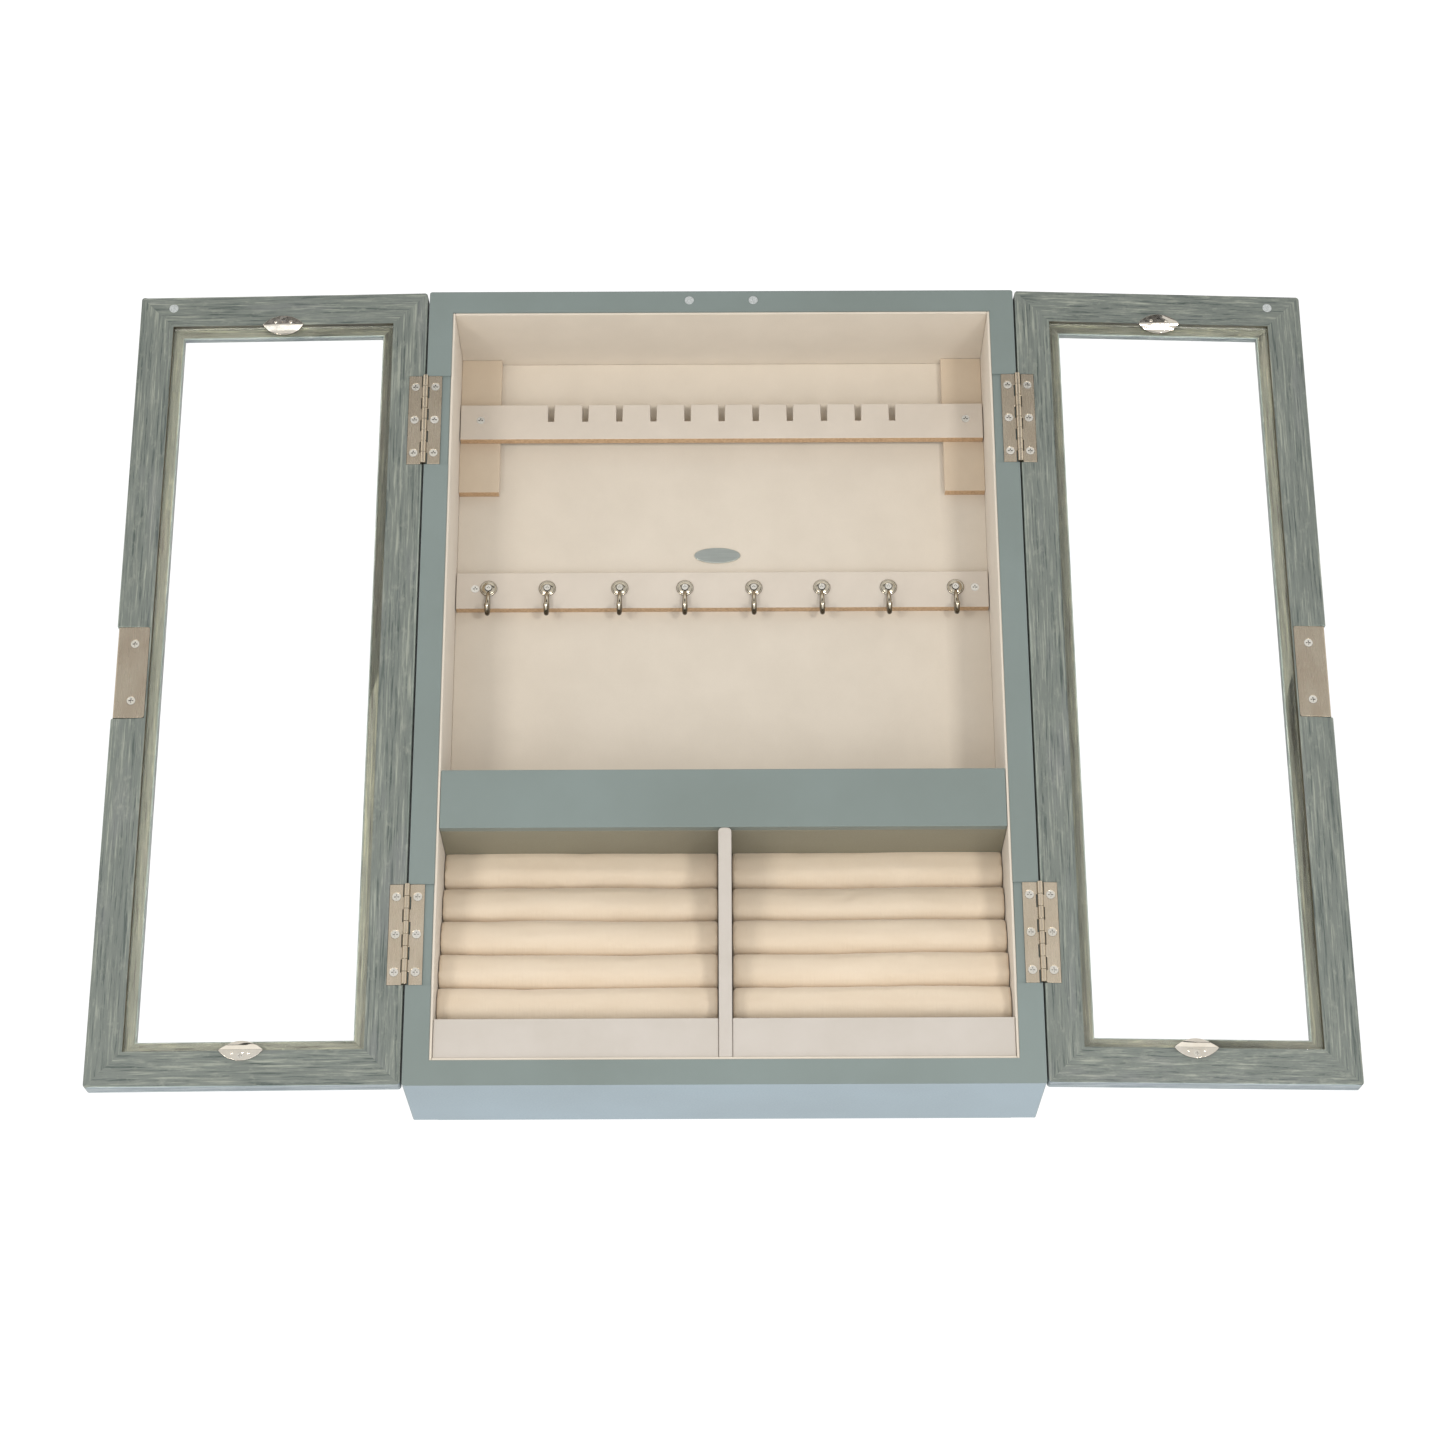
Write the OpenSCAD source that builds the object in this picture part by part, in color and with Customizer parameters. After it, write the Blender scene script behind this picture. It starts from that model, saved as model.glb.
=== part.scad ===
// Jewelry armoire: a shallow painted cabinet with two framed glass doors.
// The origin is the centre of the cabinet's base, +Z is up and -Y is the front.
// Both doors stand open; each one swings about the pins of its two butt hinges.

/* [Cabinet] */
// Width over the two side boards
cab_w = 356; // [300:1:420]
// Height over the top and bottom boards
cab_h = 502; // [470:1:600]
// Depth from the front edges to the back edges
cab_d = 70; // [68:1:110]
// Thickness of the outer boards
board_t = 14.5; // [12:0.5:20]
// Thickness of the back panel
back_t = 3; // [3:0.5:4]
// Depth of the recess behind the back panel
back_recess = 3; // [3:0.5:4]
// Thickness of the lining boards
lining_t = 1.5; // [1:0.1:2]

/* [Doors] */
// Width of one door
door_w = 175.5; // [172:0.5:175.5]
// Height of the doors
door_h = 500.5; // [470:0.5:600]
// Thickness of the door frames
door_t = 10; // [9:0.5:11]
// Width of a frame member's inner face
frame_face = 20.5; // [18:0.5:26]
// Width of the lip that carries the glass
frame_lip = 6.6; // [4:0.2:8]
// Depth from the inner face to the lip
rebate_depth = 5; // [4.5:0.5:6]
// Thickness of the glass
glass_t = 3; // [2:0.5:3]
// Gap between door and cabinet when the door is shut
shut_gap = 1.6; // [1.5:0.1:2]
// How far past half a turn the left door stands open
left_past = 1.4; // [0:0.1:5]
// How far past half a turn the right door stands open
right_past = 3; // [0:0.1:5]

/* [Hinges] */
// Length of a butt hinge
hinge_l = 59.5; // [50:0.5:70]
// Distance from a hinge's middle to the nearer end of the cabinet
hinge_inset = 88; // [60:1:110]
// Outer diameter of the knuckles
barrel_d = 3.4; // [3:0.1:3.6]
// Thickness of the leaves
leaf_t = 1; // [0.8:0.1:1]
// Spacing of the screws in a leaf
hinge_screw_pitch = 22.3; // [18:0.1:24]

/* [Rails and hooks] */
// Thickness of the necklace rail and of the hook rail
rail_t = 6; // [5:0.5:8]
// Height of both rails
rail_h = 24; // [20:1:30]
// Height of the necklace rail's lower edge above the base
necklace_rail_z = 427; // [400:1:430]
// Height of the hook rail's lower edge above the base
hook_rail_z = 315; // [300:1:330]
// Number of notches in the necklace rail
notch_count = 11; // [3:2:13]
// Spacing of the notches
notch_pitch = 21.1; // [18:0.1:22]
// Width of a notch
notch_w = 3.9; // [3:0.1:4]
// Number of hooks on each half of the hook rail
hooks_per_side = 4; // [2:1:4]
// Spacing of the hooks
hook_pitch = 40.4; // [38:0.2:41]

/* [Shelf and ring compartments] */
// Height of the shelf's underside above the base
shelf_z = 152; // [145:1:160]
// Height of the shelf's front board
shelf_front_h = 35.5; // [30:0.5:45]
// Thickness of the shelf's boards
shelf_t = 6; // [5:0.5:8]
// Place of the divider across the width
divider_x = 0.8; // [-5:0.1:5]
// Thickness of the divider
divider_t = 7.5; // [6:0.5:10]
// Radius of a ring roll
roll_r = 11.4; // [10:0.1:11.4]
// Spacing of the rolls along the slope
roll_pitch = 23.1; // [23.1:0.1:23.4]
// Slope of the row of rolls from the vertical
roll_slope = 16; // [14:0.5:17]
// Height of the board in front of the lowest roll
toe_h = 23; // [15:0.5:26]

/* [Hidden] */

$fn = 48;
LEFT = -1;
RIGHT = 1;
sides = [LEFT, RIGHT];
slack = 0.2; // clearance of a loose-fitted board
snug = 0.05; // clearance round a press-fitted pin, magnet or screw
tip_gap = 0.3; // room left in a hole beyond a screw's tip
cut = 1; // how far a cutting shape reaches past a face

front_y = -cab_d / 2;
back_y = cab_d / 2;
half_w = cab_w / 2;
inner_x = half_w - board_t;
corner_r = 1.5;

// Back panel and lining, from the rear forwards
panel_rebate = 5;
panel_back_y = back_y - back_recess;
panel_front_y = panel_back_y - back_t;
lining_back_y = panel_front_y - lining_t;
lining_recess = 0.3; // the lining stops short of the boards' front edges
lining_front_y = front_y + lining_recess;
room_x = inner_x - lining_t;
room_z0 = board_t + lining_t;
room_z1 = cab_h - board_t - lining_t;

// Screws
screw_r = 1.25;
screw_head_r = 2.5;
screw_head_h = 1.5;
screw_hole_r = screw_r + 0.1;
screw_cross_l = 2.9;
screw_cross_w = 0.6;
screw_cross_h = 0.9;

// Hinges
pin_x = half_w + 0.6;
pin_y = front_y - shut_gap / 2;
pin_r = 0.9;
barrel_r = barrel_d / 2;
knuckles = 8;
door_knuckle = 0; // the lowest knuckle of a door's leaf
cabinet_knuckle = 1; // the lowest knuckle of a cabinet's leaf
knuckle_l = hinge_l / knuckles;
knuckle_gap = 0.2;
leaf_inner = 9.9; // from the pin's axis to the leaf's free edge
leaf_outer = barrel_r + 0.6; // from the pin's axis to the leaf's solid part
leaf_screw = 6; // from the pin's axis to the screws
mortise_depth = leaf_t + 0.15;
hinge_heights = [hinge_inset, cab_h - hinge_inset];
screw_steps = [-1, 0, 1];
hinge_screw_l = 11;

// Doors
door_z0 = (cab_h - door_h) / 2;
door_x0 = 2 * pin_x - half_w; // hinge edge of a door at half a turn
door_corner_r = 2;
member_w = frame_face + frame_lip;
glass_slack = 0.5;
door_screw_l = 6.5;

// Pull plates
pull_h = 57.5;
pull_leg = 19.4;
pull_t = 1;
pull_reach = 7;
pull_lip = 4.5;
pull_inset = 1;
pull_corner_r = 1.5;
pull_screw_pitch = 36;
pull_screw_x = door_w - 11.2;

// Glass clips
clip_w = 25;
clip_h = 12;
clip_t = 0.8;
clip_edge = 14.5; // from the door's edge to the clip
clip_screw_edge = 17.2;
clip_bend_edge = frame_face + 0.1;
clip_step_w = 2.7;
clip_dimple_r = 1.1;
clip_dimple_x = 4.6;
clip_dimple_edge = 19;
clip_screw_r = 1.9;
clip_shift = [1.2, -4.7]; // the left and right doors' lower clips stand off the middle

// Magnets
magnet_r = 2.8;
magnet_l = 4;
magnet_x = 19.5;
magnet_drop = 6.3;
door_magnet_x = 22.5;
door_magnet_drop = 8.5;

// Spacers and rails
spacer_w = 25;
spacer_t = 6.2;
spacer_z = 393.5;
spacer_front_y = lining_back_y - spacer_t;
necklace_front_y = spacer_front_y - rail_t;
hook_front_y = lining_back_y - rail_t;
notch_depth = 11.9;
rail_gap = 0.5; // between a rail's end and the lining
necklace_screw_x = [-149, 150.9];
hook_rail_screw_x = [-150, 153.3];
rail_screw_l = 9.5;
rail_screw_lift = 1.2; // the rails' screws sit a little above their middle
necklace_screw_z = necklace_rail_z + rail_h / 2 + rail_screw_lift;
hook_screw_z = hook_rail_z + rail_h / 2 + rail_screw_lift;

// Hooks
rosette_r = 5.25;
rosette_t = 1.4;
rosette_rim = 1.1;
hook_wire_r = 1.15;
hook_shift = [[-2.5, -1.6, -5.2, -0.4], [-1.1, -0.3, -0.3, 0]]; // from the middle outwards
hook_drop = 16;
hook_out = 4;
hook_bowl_r = 4;
hook_tip_r = 1.6;
hook_root = 3.4; // from the rosette's middle down to the wire's root
hook_z = hook_screw_z;
hook_screw_r = 1.9;
hook_screw_t = 0.9;
hook_screw_l = 6;
hook_screw_shank_r = 0.9;

// Plaque
plaque_w = 28;
plaque_h = 10.2;
plaque_t = 1;
plaque_x = -3;
plaque_z = 352.6;
plaque_points = 48;

// Wall hanging plates
hanger_w = 16;
hanger_h = 44;
hanger_t = 1.5;
hanger_x = 150;
hanger_z = 466;
hanger_hole_r = 4.2;
hanger_slot_r = 2.2;
hanger_slot_l = 9;
hanger_screw_pitch = 34;
hanger_pocket_w = 10;
hanger_pocket_h = 22;

// Shelf and ring compartments
shelf_front_y = front_y + 0.5;
divider_front_y = front_y + 1;
divider_r = 2.5;
toe_t = 5;
toe_y = front_y + 2;
toe_gap = 0.2;
support_t = 3;
roll_gap = 0.1;
roll_end_gap = 0.35;
first_roll_y = front_y + 51;
first_roll_z = shelf_z - 11.7;
roll_rise = roll_pitch * cos(roll_slope);
roll_run = roll_pitch * sin(roll_slope);
support_off = (roll_r + roll_gap) / cos(roll_slope); // axis of a roll to the support, level

// Colours
paint = [0.53, 0.58, 0.57];
door_paint = [0.5, 0.55, 0.52];
lining = [0.85, 0.8, 0.73];
padding = [0.9, 0.84, 0.74];
nickel = [0.69, 0.66, 0.6];
bright = [0.85, 0.85, 0.84];
panel_tan = [0.76, 0.63, 0.47];
clear = [0.85, 0.92, 0.93, 0.35];
plaque_grey = [0.75, 0.77, 0.73];

// A box given by its lowest and highest corners
module span(a, b) {
    translate(a)
        cube(b - a);
}

module rounded_rect(w, h, r) {
    translate([r, 0])
        square([w - 2 * r, h]);
    translate([0, r])
        square([w, h - 2 * r]);
    for (x = [r, w - r], y = [r, h - r])
        translate([x, y])
            circle(r);
}

// Turns a flat outline in X and Z into a plate of thickness t, from y backwards
module upright(y, t) {
    translate([0, y + t, 0])
        rotate([90, 0, 0])
            linear_extrude(t)
                children();
}

// Countersunk cross-head screw: head flush at the origin, shank along +Y
module screw(l) {
    rotate([-90, 0, 0])
        difference() {
            union() {
                cylinder(h = screw_head_h, r1 = screw_head_r, r2 = screw_r);
                cylinder(h = l, r = screw_r);
            }
            for (turn = [0, 90])
                rotate([0, 0, turn])
                    translate([-screw_cross_l / 2, -screw_cross_w / 2, -cut])
                        cube([screw_cross_l, screw_cross_w, screw_cross_h + cut]);
        }
}

// The hole for a screw, with its countersink
module screw_hole(l) {
    rotate([-90, 0, 0]) {
        translate([0, 0, -cut])
            cylinder(h = l + cut, r = screw_hole_r);
        cylinder(h = screw_head_h, r1 = screw_head_r + 0.1, r2 = screw_hole_r);
    }
}

// Places its children at every screw of the hinge leaves on one side
module at_hinge_screws(side, x) {
    for (h = hinge_heights, i = screw_steps)
        translate([side * x, front_y, h + i * hinge_screw_pitch])
            children();
}

// ---- Cabinet ----

module cabinet_outline() {
    translate([-half_w, 0])
        rounded_rect(cab_w, cab_h, corner_r);
}

module side_board(side) {
    a = side < 0 ? -half_w : inner_x;
    panel_x = side < 0 ? -inner_x - panel_rebate : inner_x - cut;
    color(paint)
        difference() {
            intersection() {
                span([a, front_y, 0], [a + board_t, back_y, cab_h]);
                upright(front_y, cab_d)
                    cabinet_outline();
            }
            for (h = hinge_heights)
                span([a - cut, front_y - cut, h - hinge_l / 2 - slack],
                     [a + board_t + cut, front_y + mortise_depth, h + hinge_l / 2 + slack]);
            at_hinge_screws(side, pin_x - leaf_screw)
                screw_hole(hinge_screw_l + tip_gap);
            span([panel_x, panel_front_y, board_t - panel_rebate],
                 [panel_x + panel_rebate + cut, back_y + cut, cab_h - board_t + panel_rebate]);
        }
}

// A top or bottom board, rebated for the back panel, with its children cut out
module end_board(z, rebate_z) {
    color(paint)
        difference() {
            span([-inner_x, front_y, z], [inner_x, back_y, z + board_t]);
            span([-inner_x - cut, panel_front_y, rebate_z],
                 [inner_x + cut, back_y + cut, rebate_z + panel_rebate + cut]);
            children();
        }
}

module magnet_hole() {
    rotate([-90, 0, 0])
        translate([0, 0, -cut])
            cylinder(h = magnet_l + 2 * snug + cut, r = magnet_r + snug);
}

module magnet() {
    color(bright)
        rotate([-90, 0, 0])
            cylinder(h = magnet_l, r = magnet_r);
}

module top_board() {
    end_board(cab_h - board_t, cab_h - board_t - cut)
        for (side = sides)
            translate([side * magnet_x, front_y, cab_h - magnet_drop])
                magnet_hole();
}

module bottom_board() {
    end_board(0, board_t - panel_rebate);
}

module magnets_cabinet() {
    for (side = sides)
        translate([side * magnet_x, front_y, cab_h - magnet_drop])
            magnet();
}

module back_panel() {
    color(panel_tan)
        difference() {
            span([-inner_x - panel_rebate, panel_front_y, board_t - panel_rebate],
                 [inner_x + panel_rebate, panel_back_y, cab_h - board_t + panel_rebate]);
            for (side = sides)
                translate([side * hanger_x - hanger_pocket_w / 2, panel_front_y - cut,
                           hanger_z - hanger_pocket_h / 2])
                    cube([hanger_pocket_w, back_t + 2 * cut, hanger_pocket_h]);
            at_hanger_screws()
                mirror([0, 1, 0])
                    screw_hole(rail_screw_l + hanger_t);
            at_rail_screws(hook_rail_screw_x, hook_front_y, hook_screw_z)
                screw_hole(rail_screw_l + tip_gap);
        }
}

module lining_side(side) {
    a = side < 0 ? -inner_x : room_x;
    color(lining)
        span([a, lining_front_y, board_t], [a + lining_t, panel_front_y, cab_h - board_t]);
}

module lining_end(z) {
    color(lining)
        span([-room_x, lining_front_y, z], [room_x, panel_front_y, z + lining_t]);
}

module lining_back() {
    color(lining)
        difference() {
            span([-room_x, lining_back_y, room_z0], [room_x, panel_front_y, room_z1]);
            at_hanger_screws()
                mirror([0, 1, 0])
                    screw_hole(rail_screw_l + hanger_t);
            at_rail_screws(hook_rail_screw_x, hook_front_y, hook_screw_z)
                screw_hole(rail_screw_l + tip_gap);
        }
}

// ---- Rails, hooks and plaque ----

module at_rail_screws(places, y, z) {
    for (x = places)
        translate([x, y, z])
            children();
}

module spacer(side) {
    a = side < 0 ? -room_x : room_x - spacer_w;
    color(lining)
        difference() {
            span([a, spacer_front_y, spacer_z], [a + spacer_w, lining_back_y, room_z1]);
            at_rail_screws(necklace_screw_x, necklace_front_y, necklace_screw_z)
                screw_hole(rail_screw_l + tip_gap);
            at_hanger_screws()
                mirror([0, 1, 0])
                    screw_hole(rail_screw_l + hanger_t);
        }
}

module rail(y, z) {
    color(lining)
        difference() {
            span([-room_x + rail_gap, y, z], [room_x - rail_gap, y + rail_t, z + rail_h]);
            children();
        }
}

module necklace_rail() {
    rail(necklace_front_y, necklace_rail_z) {
        for (i = [0 : notch_count - 1])
            translate([(i - (notch_count - 1) / 2) * notch_pitch, 0,
                       necklace_rail_z + rail_h - notch_depth])
                upright(necklace_front_y - cut, rail_t + 2 * cut)
                    translate([-notch_w / 2, 0])
                        square([notch_w, notch_depth + cut]);
        at_rail_screws(necklace_screw_x, necklace_front_y, necklace_screw_z)
            screw_hole(rail_screw_l + tip_gap);
    }
}

module hook_rail() {
    rail(hook_front_y, hook_rail_z) {
        at_rail_screws(hook_rail_screw_x, hook_front_y, hook_screw_z)
            screw_hole(rail_screw_l + tip_gap);
        for (side = sides)
            at_hooks(side)
                rotate([-90, 0, 0])
                    translate([0, 0, -cut])
                        cylinder(h = rail_t, r = hook_screw_shank_r + snug);
    }
}

module at_hooks(side) {
    shift = hook_shift[side < 0 ? 0 : 1];
    for (i = [0 : hooks_per_side - 1])
        translate([side * (i + 0.5) * hook_pitch + shift[i], hook_front_y, hook_z])
            children();
}

// A disc on the rail with a wire that drops, turns forwards and ends in a ball
module hook() {
    difference() {
        union() {
            rotate([90, 0, 0]) {
                cylinder(h = rosette_t - rosette_rim / 2, r = rosette_r);
                cylinder(h = rosette_t, r = rosette_r - rosette_rim);
            }
            hook_wire();
        }
        rotate([90, 0, 0])
            translate([0, 0, -cut])
                cylinder(h = rosette_t + hook_screw_t + 2 * cut, r = hook_screw_shank_r + snug);
        rotate([90, 0, 0])
            translate([0, 0, rosette_t - 0.5])
                cylinder(h = hook_out, r = hook_screw_r + 0.1);
    }
}

module hook_wire() {
    root = [0, -rosette_t + 0.3, -hook_root];
    knee = [0, -hook_out, -hook_root - 4];
    foot = [0, -hook_out, -hook_drop];
    slope = atan2(knee[1] - root[1], knee[2] - root[2]);
    bend = hook_bowl_r + 2 * hook_wire_r;
    translate(root)
        rotate([-slope, 0, 0])
            cylinder(h = norm(knee - root), r = hook_wire_r);
    translate(knee)
        sphere(hook_wire_r + 0.1);
    translate(foot)
        cylinder(h = knee[2] - foot[2], r = hook_wire_r);
    translate(foot - [0, hook_bowl_r, 0])
        intersection() {
            rotate([0, 90, 0])
                rotate_extrude()
                    translate([hook_bowl_r, 0])
                        circle(hook_wire_r);
            span([-bend, -bend, -bend], [bend, bend, 0]);
        }
    translate(foot - [0, 2 * hook_bowl_r, 0])
        sphere(hook_tip_r);
}

module hooks(side) {
    color(bright)
        at_hooks(side)
            hook();
}

module hook_screws() {
    color(bright)
        for (side = sides)
            at_hooks(side)
                difference() {
                    union() {
                        rotate([90, 0, 0])
                            translate([0, 0, rosette_t - 0.5])
                                cylinder(h = hook_screw_t, r = hook_screw_r);
                        rotate([-90, 0, 0])
                            translate([0, 0, -rosette_t])
                                cylinder(h = hook_screw_l, r = hook_screw_shank_r);
                    }
                    for (turn = [0, 90])
                        rotate([0, turn, 0])
                            translate([-1, -rosette_t - hook_screw_t, -0.25])
                                cube([2, hook_screw_t, 0.5]);
                }
}

module plaque() {
    color(plaque_grey)
        translate([plaque_x, 0, plaque_z])
            upright(lining_back_y - plaque_t, plaque_t)
                polygon([for (i = [0 : plaque_points - 1])
                    [plaque_w / 2 * cos(i * 360 / plaque_points),
                     plaque_h / 2 * sin(i * 360 / plaque_points)]]);
}

// ---- Wall hanging plates and the cabinet's screws ----

module at_hanger_screws() {
    for (side = sides, end = sides)
        translate([side * hanger_x, panel_back_y + hanger_t,
                   hanger_z + end * hanger_screw_pitch / 2])
            children();
}

module hanger_plates() {
    color(nickel)
        difference() {
            for (side = sides)
                translate([side * hanger_x - hanger_w / 2, 0, hanger_z - hanger_h / 2])
                    upright(panel_back_y, hanger_t)
                        rounded_rect(hanger_w, hanger_h, 3);
            for (side = sides)
                translate([side * hanger_x, 0, hanger_z])
                    upright(panel_back_y - cut, hanger_t + 2 * cut) {
                        translate([0, -hanger_slot_l / 2])
                            circle(hanger_hole_r);
                        translate([0, hanger_slot_l / 2])
                            circle(hanger_slot_r);
                        translate([-hanger_slot_r, -hanger_slot_l / 2])
                            square([2 * hanger_slot_r, hanger_slot_l]);
                    }
            at_hanger_screws()
                mirror([0, 1, 0])
                    screw_hole(rail_screw_l);
        }
}

module cabinet_screws() {
    color(bright) {
        for (side = sides)
            at_hinge_screws(side, pin_x - leaf_screw)
                screw(hinge_screw_l);
        at_rail_screws(necklace_screw_x, necklace_front_y, necklace_screw_z)
            screw(rail_screw_l);
        at_rail_screws(hook_rail_screw_x, hook_front_y, hook_screw_z)
            screw(rail_screw_l);
        at_hanger_screws()
            mirror([0, 1, 0])
                screw(rail_screw_l);
    }
}

// ---- Shelf and ring compartments ----

module shelf_front() {
    color(paint)
        span([-room_x + slack, shelf_front_y, shelf_z],
             [room_x - slack, shelf_front_y + shelf_t, shelf_z + shelf_front_h]);
}

module shelf_floor() {
    color(paint)
        span([-room_x + slack, shelf_front_y + shelf_t, shelf_z],
             [room_x - slack, lining_back_y, shelf_z + shelf_t]);
}

module divider() {
    h = shelf_z - room_z0;
    color(lining)
        translate([divider_x - divider_t / 2, 0, room_z0])
            upright(divider_front_y, lining_back_y - divider_front_y) {
                square([divider_t, h - divider_r]);
                translate([divider_r, 0])
                    square([divider_t - 2 * divider_r, h]);
                for (x = [divider_r, divider_t - divider_r])
                    translate([x, h - divider_r])
                        circle(divider_r);
            }
}

// The two ends of a ring compartment
function bay(side) = side < 0
    ? [-room_x, divider_x - divider_t / 2]
    : [divider_x + divider_t / 2, room_x];

// Extrudes an outline given in Y and Z across a compartment
module across(side, gap) {
    ends = bay(side);
    translate([ends[0] + gap, 0, 0])
        rotate([90, 0, 90])
            linear_extrude(ends[1] - ends[0] - 2 * gap)
                children();
}

module ring_support(side) {
    run = tan(roll_slope);
    foot_y = first_roll_y + support_off - (first_roll_z - room_z0) * run;
    level_t = support_t / cos(roll_slope);
    color(lining)
        across(side, slack)
            polygon([
                [foot_y, room_z0],
                [lining_back_y, room_z0 + (lining_back_y - foot_y) / run],
                [lining_back_y, room_z0 + (lining_back_y - foot_y - level_t) / run],
                [foot_y + level_t, room_z0]
            ]);
}

module toe_board(side) {
    color(lining)
        across(side, toe_gap)
            translate([toe_y, room_z0])
                square([toe_t, toe_h]);
}

module ring_roll(side, i) {
    ends = bay(side);
    color(padding)
        translate([ends[0] + roll_end_gap, first_roll_y - i * roll_run,
                   first_roll_z - i * roll_rise])
            rotate([0, 90, 0])
                cylinder(h = ends[1] - ends[0] - 2 * roll_end_gap, r = roll_r);
}

// ---- Hinges ----
// A leaf lies in the front plane with its knuckles round the pin. It reaches towards +X or
// -X from the pin, and owns every second knuckle from the one numbered first, 0 being lowest.

module hinge_leaf(toward, first) {
    root = leaf_outer + slack; // the knuckles' necks run a little into the leaf
    leaf_y = front_y - pin_y;
    difference() {
        union() {
            span([min(toward * leaf_outer, toward * leaf_inner), leaf_y, -hinge_l / 2],
                 [max(toward * leaf_outer, toward * leaf_inner), leaf_y + leaf_t, hinge_l / 2]);
            for (k = [first : 2 : knuckles - 1])
                translate([0, 0, k * knuckle_l - hinge_l / 2 + knuckle_gap / 2]) {
                    cylinder(h = knuckle_l - knuckle_gap, r = barrel_r);
                    translate([toward > 0 ? 0 : -root, leaf_y, 0])
                        cube([root, leaf_t, knuckle_l - knuckle_gap]);
                }
        }
        translate([0, 0, -hinge_l / 2 - cut])
            cylinder(h = hinge_l + 2 * cut, r = pin_r + snug);
        for (i = screw_steps)
            translate([toward * leaf_screw, leaf_y, i * hinge_screw_pitch])
                screw_hole(leaf_t + cut);
    }
}

module at_hinges(side) {
    for (h = hinge_heights)
        translate([side * pin_x, pin_y, h])
            children();
}

module hinge_leaves_cabinet() {
    color(nickel)
        for (side = sides)
            at_hinges(side)
                hinge_leaf(-side, cabinet_knuckle);
}

module hinge_pins() {
    color(nickel)
        for (side = sides)
            at_hinges(side)
                translate([0, 0, -hinge_l / 2])
                    cylinder(h = hinge_l, r = pin_r);
}

// ---- Doors ----
// A door is drawn as the right-hand one, at half a turn: X runs from its hinge edge, the
// inner face is y = 0 and the thickness runs backwards. place_door puts it on its hinges.

module place_door(side) {
    past = side < 0 ? left_past : right_past;
    mirror([side < 0 ? 1 : 0, 0, 0])
        translate([pin_x, pin_y, 0])
            rotate([0, 0, past])
                translate([door_x0 - pin_x, front_y - pin_y, door_z0])
                    children();
}

module door_outline() {
    rounded_rect(door_w, door_h, door_corner_r);
}

// Section of a frame member: full thickness, then the lip that carries the glass
module member_section() {
    polygon([
        [0, 0], [frame_face, 0], [frame_face, rebate_depth],
        [member_w, rebate_depth], [member_w, door_t], [0, door_t]
    ]);
}

// A member of length l along +X, mitred at both ends, with its outer edge at z = 0
module frame_member(l) {
    intersection() {
        rotate([90, 0, 90])
            linear_extrude(l)
                mirror([1, -1])
                    member_section();
        upright(0, door_t)
            polygon([[0, 0], [l, 0], [l - member_w, member_w], [member_w, member_w]]);
    }
}

module hinge_mortise() {
    for (h = hinge_heights)
        span([-cut, -cut, h - door_z0 - hinge_l / 2 - slack],
             [pin_x + leaf_inner - door_x0 + slack, mortise_depth,
              h - door_z0 + hinge_l / 2 + slack]);
}

module at_door_hinge_screws() {
    for (h = hinge_heights, i = screw_steps)
        translate([pin_x + leaf_screw - door_x0, 0, h - door_z0 + i * hinge_screw_pitch])
            children();
}

module at_pull_screws() {
    for (end = sides)
        translate([pull_screw_x, 0, door_h / 2 + end * pull_screw_pitch / 2])
            children();
}

module at_clips(side) {
    translate([door_w / 2 + clip_shift[side < 0 ? 0 : 1], 0, 0])
        children();
    translate([door_w / 2, 0, door_h])
        mirror([0, 0, 1])
            children();
}

module hinge_stile(side) {
    color(door_paint)
        place_door(side)
            difference() {
                intersection() {
                    mirror([1, 0, -1])
                        frame_member(door_h);
                    upright(0, door_t)
                        door_outline();
                }
                hinge_mortise();
                at_door_hinge_screws()
                    screw_hole(door_screw_l + tip_gap);
            }
}

module meeting_stile(side) {
    edge = door_w - pull_t - pull_inset;
    color(door_paint)
        place_door(side)
            difference() {
                intersection() {
                    translate([door_w, 0, 0])
                        mirror([1, 0, 0])
                            mirror([1, 0, -1])
                                frame_member(door_h);
                    upright(0, door_t)
                        door_outline();
                }
                span([door_w - pull_leg - slack, -cut, (door_h - pull_h) / 2 - slack],
                     [door_w + cut, pull_t + 0.1, (door_h + pull_h) / 2 + slack]);
                span([edge - 0.1, -cut, (door_h - pull_h) / 2 - slack],
                     [door_w + cut, door_t + cut, (door_h + pull_h) / 2 + slack]);
                at_pull_screws()
                    screw_hole(door_screw_l + tip_gap);
            }
}

module clip_screw_hole() {
    translate([0, -clip_t, clip_screw_edge])
        rotate([-90, 0, 0])
            translate([0, 0, -cut])
                cylinder(h = door_screw_l + cut, r = hook_screw_shank_r + snug);
}

module door_rail(side, top) {
    color(door_paint)
        place_door(side)
            difference() {
                intersection() {
                    translate([0, 0, top ? door_h : 0])
                        mirror([0, 0, top ? 1 : 0])
                            frame_member(door_w);
                    upright(0, door_t)
                        door_outline();
                }
                at_clips(side)
                    clip_screw_hole();
                if (top)
                    translate([half_w - door_magnet_x, 0, cab_h - door_magnet_drop - door_z0])
                        magnet_hole();
            }
}

module door_glass(side) {
    edge = frame_face + glass_slack;
    color(clear)
        place_door(side)
            span([edge, rebate_depth - glass_t, edge],
                 [door_w - edge, rebate_depth, door_h - edge]);
}

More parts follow.
